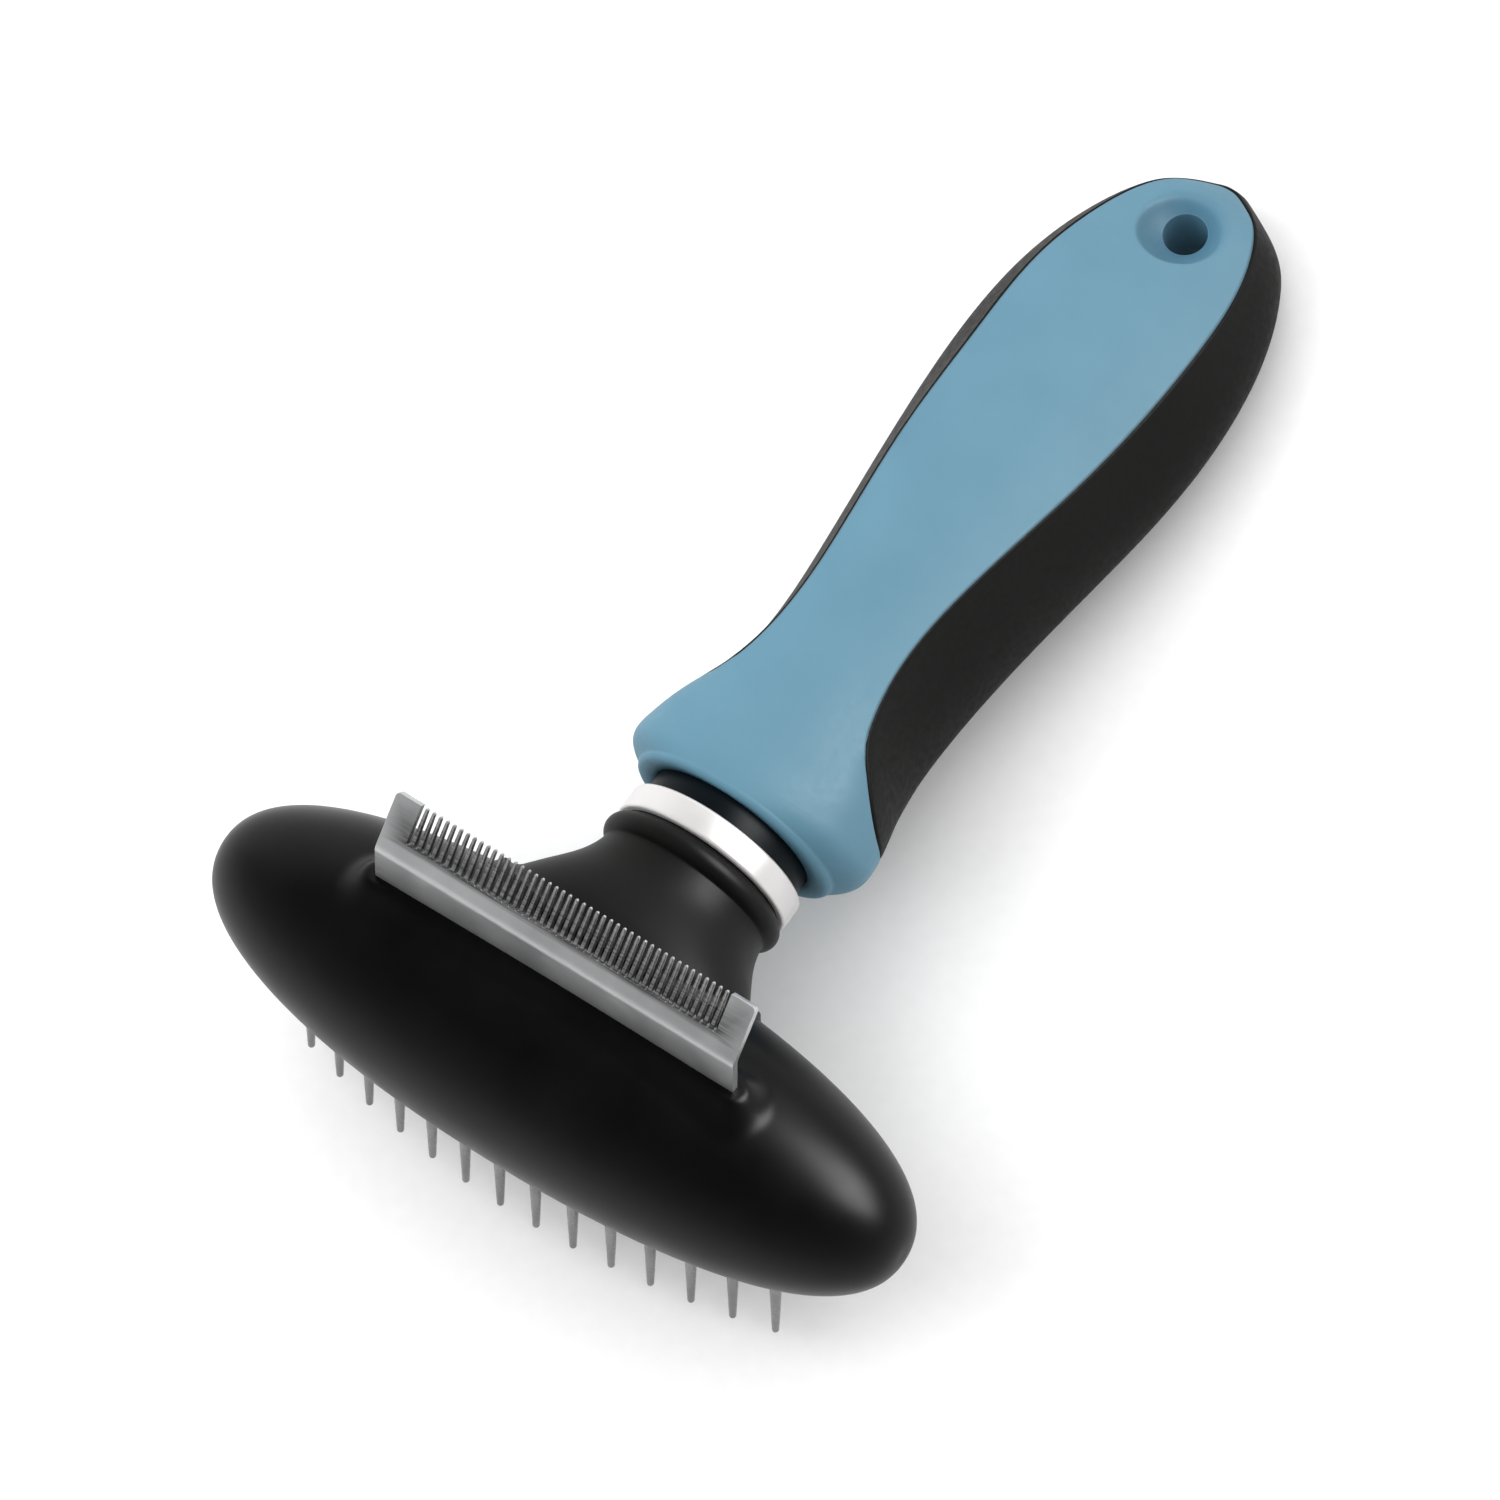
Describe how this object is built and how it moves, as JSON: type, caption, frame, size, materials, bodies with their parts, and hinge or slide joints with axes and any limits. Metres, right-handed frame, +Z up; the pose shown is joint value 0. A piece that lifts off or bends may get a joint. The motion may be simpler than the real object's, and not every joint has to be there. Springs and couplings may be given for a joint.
{
  "type": "undercoat rake",
  "caption": "Double-sided pet grooming rake: oval head with rows of turning tapered pins below and a fine-toothed blade above, on a two-material handle with a hang hole.",
  "frame": {"origin": "middle of the base of the box, on the surface that the rake lies on", "axes": "+Y from the head towards the end of the handle, +Z up, +X along the head; the rake lies pins down on its rear row and the back of its handle"},
  "size_m": [0.1, 0.1548, 0.053],
  "materials": {
    "head_gloss": "moulded gloss black",
    "inner_plastic": "moulded, hidden",
    "screw_steel": "plain zinc",
    "pin_steel": "polished round pins",
    "blade_steel": "ground stainless",
    "neck_satin": "satin moulded black",
    "ring_chrome": "polished",
    "collar_navy": "dark navy moulded",
    "grip_black": "soft-touch black rubber",
    "grip_blue": "soft-touch blue rubber"
  },
  "bodies": {
    "rake": {"blade": "blade_steel", "blade_clamp": "inner_plastic", "clamp_screws": "screw_steel", "collar": "collar_navy", "ferrule_ring": "ring_chrome", "grip_panel": "grip_blue", "grip_shell": "grip_black", "handle_core": "inner_plastic", "head_housing": "head_gloss", "neck": "neck_satin", "neck_screws": "screw_steel", "pin_plate": "head_gloss", "pin_retainer": "inner_plastic", "plate_screws": "screw_steel", "tang": "screw_steel", "tang_pin": "screw_steel"},
    "front_pin_01": {"front_pin_01": "pin_steel"},
    "front_pin_02": {"front_pin_02": "pin_steel"},
    "front_pin_03": {"front_pin_03": "pin_steel"},
    "front_pin_04": {"front_pin_04": "pin_steel"},
    "front_pin_05": {"front_pin_05": "pin_steel"},
    "front_pin_06": {"front_pin_06": "pin_steel"},
    "front_pin_07": {"front_pin_07": "pin_steel"},
    "front_pin_08": {"front_pin_08": "pin_steel"},
    "front_pin_09": {"front_pin_09": "pin_steel"},
    "front_pin_10": {"front_pin_10": "pin_steel"},
    "front_pin_11": {"front_pin_11": "pin_steel"},
    "front_pin_12": {"front_pin_12": "pin_steel"},
    "front_pin_13": {"front_pin_13": "pin_steel"},
    "front_pin_14": {"front_pin_14": "pin_steel"},
    "rear_pin_01": {"rear_pin_01": "pin_steel"},
    "rear_pin_02": {"rear_pin_02": "pin_steel"},
    "rear_pin_03": {"rear_pin_03": "pin_steel"},
    "rear_pin_04": {"rear_pin_04": "pin_steel"},
    "rear_pin_05": {"rear_pin_05": "pin_steel"},
    "rear_pin_06": {"rear_pin_06": "pin_steel"},
    "rear_pin_07": {"rear_pin_07": "pin_steel"},
    "rear_pin_08": {"rear_pin_08": "pin_steel"},
    "rear_pin_09": {"rear_pin_09": "pin_steel"},
    "rear_pin_10": {"rear_pin_10": "pin_steel"},
    "rear_pin_11": {"rear_pin_11": "pin_steel"},
    "rear_pin_12": {"rear_pin_12": "pin_steel"},
    "rear_pin_13": {"rear_pin_13": "pin_steel"},
    "rear_pin_14": {"rear_pin_14": "pin_steel"}
  },
  "joints": [
    {"name": "front_turn_01", "type": "hinge", "parent": "rake", "child": "front_pin_01", "pos_m": [-0.03471, -0.06819, 0.0186], "axis": [0, 0.2773, 0.9608], "continuous": true},
    {"name": "front_turn_02", "type": "hinge", "parent": "rake", "child": "front_pin_02", "pos_m": [-0.02937, -0.06953, 0.01898], "axis": [0, 0.2773, 0.9608], "continuous": true},
    {"name": "front_turn_03", "type": "hinge", "parent": "rake", "child": "front_pin_03", "pos_m": [-0.02403, -0.07064, 0.0193], "axis": [0, 0.2773, 0.9608], "continuous": true},
    {"name": "front_turn_04", "type": "hinge", "parent": "rake", "child": "front_pin_04", "pos_m": [-0.01869, -0.07153, 0.01956], "axis": [0, 0.2773, 0.9608], "continuous": true},
    {"name": "front_turn_05", "type": "hinge", "parent": "rake", "child": "front_pin_05", "pos_m": [-0.01335, -0.0722, 0.01976], "axis": [0, 0.2773, 0.9608], "continuous": true},
    {"name": "front_turn_06", "type": "hinge", "parent": "rake", "child": "front_pin_06", "pos_m": [-0.00801, -0.07265, 0.01988], "axis": [0, 0.2773, 0.9608], "continuous": true},
    {"name": "front_turn_07", "type": "hinge", "parent": "rake", "child": "front_pin_07", "pos_m": [-0.00267, -0.07287, 0.01995], "axis": [0, 0.2773, 0.9608], "continuous": true},
    {"name": "front_turn_08", "type": "hinge", "parent": "rake", "child": "front_pin_08", "pos_m": [0.00267, -0.07287, 0.01995], "axis": [0, 0.2773, 0.9608], "continuous": true},
    {"name": "front_turn_09", "type": "hinge", "parent": "rake", "child": "front_pin_09", "pos_m": [0.00801, -0.07265, 0.01988], "axis": [0, 0.2773, 0.9608], "continuous": true},
    {"name": "front_turn_10", "type": "hinge", "parent": "rake", "child": "front_pin_10", "pos_m": [0.01335, -0.0722, 0.01976], "axis": [0, 0.2773, 0.9608], "continuous": true},
    {"name": "front_turn_11", "type": "hinge", "parent": "rake", "child": "front_pin_11", "pos_m": [0.01869, -0.07153, 0.01956], "axis": [0, 0.2773, 0.9608], "continuous": true},
    {"name": "front_turn_12", "type": "hinge", "parent": "rake", "child": "front_pin_12", "pos_m": [0.02403, -0.07064, 0.0193], "axis": [0, 0.2773, 0.9608], "continuous": true},
    {"name": "front_turn_13", "type": "hinge", "parent": "rake", "child": "front_pin_13", "pos_m": [0.02937, -0.06953, 0.01898], "axis": [0, 0.2773, 0.9608], "continuous": true},
    {"name": "front_turn_14", "type": "hinge", "parent": "rake", "child": "front_pin_14", "pos_m": [0.03471, -0.06819, 0.0186], "axis": [0, 0.2773, 0.9608], "continuous": true},
    {"name": "rear_turn_01", "type": "hinge", "parent": "rake", "child": "rear_pin_01", "pos_m": [-0.03471, -0.05974, 0.01616], "axis": [0, 0.2773, 0.9608], "continuous": true},
    {"name": "rear_turn_02", "type": "hinge", "parent": "rake", "child": "rear_pin_02", "pos_m": [-0.02937, -0.0584, 0.01577], "axis": [0, 0.2773, 0.9608], "continuous": true},
    {"name": "rear_turn_03", "type": "hinge", "parent": "rake", "child": "rear_pin_03", "pos_m": [-0.02403, -0.05728, 0.01545], "axis": [0, 0.2773, 0.9608], "continuous": true},
    {"name": "rear_turn_04", "type": "hinge", "parent": "rake", "child": "rear_pin_04", "pos_m": [-0.01869, -0.05639, 0.01519], "axis": [0, 0.2773, 0.9608], "continuous": true},
    {"name": "rear_turn_05", "type": "hinge", "parent": "rake", "child": "rear_pin_05", "pos_m": [-0.01335, -0.05572, 0.015], "axis": [0, 0.2773, 0.9608], "continuous": true},
    {"name": "rear_turn_06", "type": "hinge", "parent": "rake", "child": "rear_pin_06", "pos_m": [-0.00801, -0.05528, 0.01487], "axis": [0, 0.2773, 0.9608], "continuous": true},
    {"name": "rear_turn_07", "type": "hinge", "parent": "rake", "child": "rear_pin_07", "pos_m": [-0.00267, -0.05505, 0.01481], "axis": [0, 0.2773, 0.9608], "continuous": true},
    {"name": "rear_turn_08", "type": "hinge", "parent": "rake", "child": "rear_pin_08", "pos_m": [0.00267, -0.05505, 0.01481], "axis": [0, 0.2773, 0.9608], "continuous": true},
    {"name": "rear_turn_09", "type": "hinge", "parent": "rake", "child": "rear_pin_09", "pos_m": [0.00801, -0.05528, 0.01487], "axis": [0, 0.2773, 0.9608], "continuous": true},
    {"name": "rear_turn_10", "type": "hinge", "parent": "rake", "child": "rear_pin_10", "pos_m": [0.01335, -0.05572, 0.015], "axis": [0, 0.2773, 0.9608], "continuous": true},
    {"name": "rear_turn_11", "type": "hinge", "parent": "rake", "child": "rear_pin_11", "pos_m": [0.01869, -0.05639, 0.01519], "axis": [0, 0.2773, 0.9608], "continuous": true},
    {"name": "rear_turn_12", "type": "hinge", "parent": "rake", "child": "rear_pin_12", "pos_m": [0.02403, -0.05728, 0.01545], "axis": [0, 0.2773, 0.9608], "continuous": true},
    {"name": "rear_turn_13", "type": "hinge", "parent": "rake", "child": "rear_pin_13", "pos_m": [0.02937, -0.0584, 0.01577], "axis": [0, 0.2773, 0.9608], "continuous": true},
    {"name": "rear_turn_14", "type": "hinge", "parent": "rake", "child": "rear_pin_14", "pos_m": [0.03471, -0.05974, 0.01616], "axis": [0, 0.2773, 0.9608], "continuous": true}
  ]
}
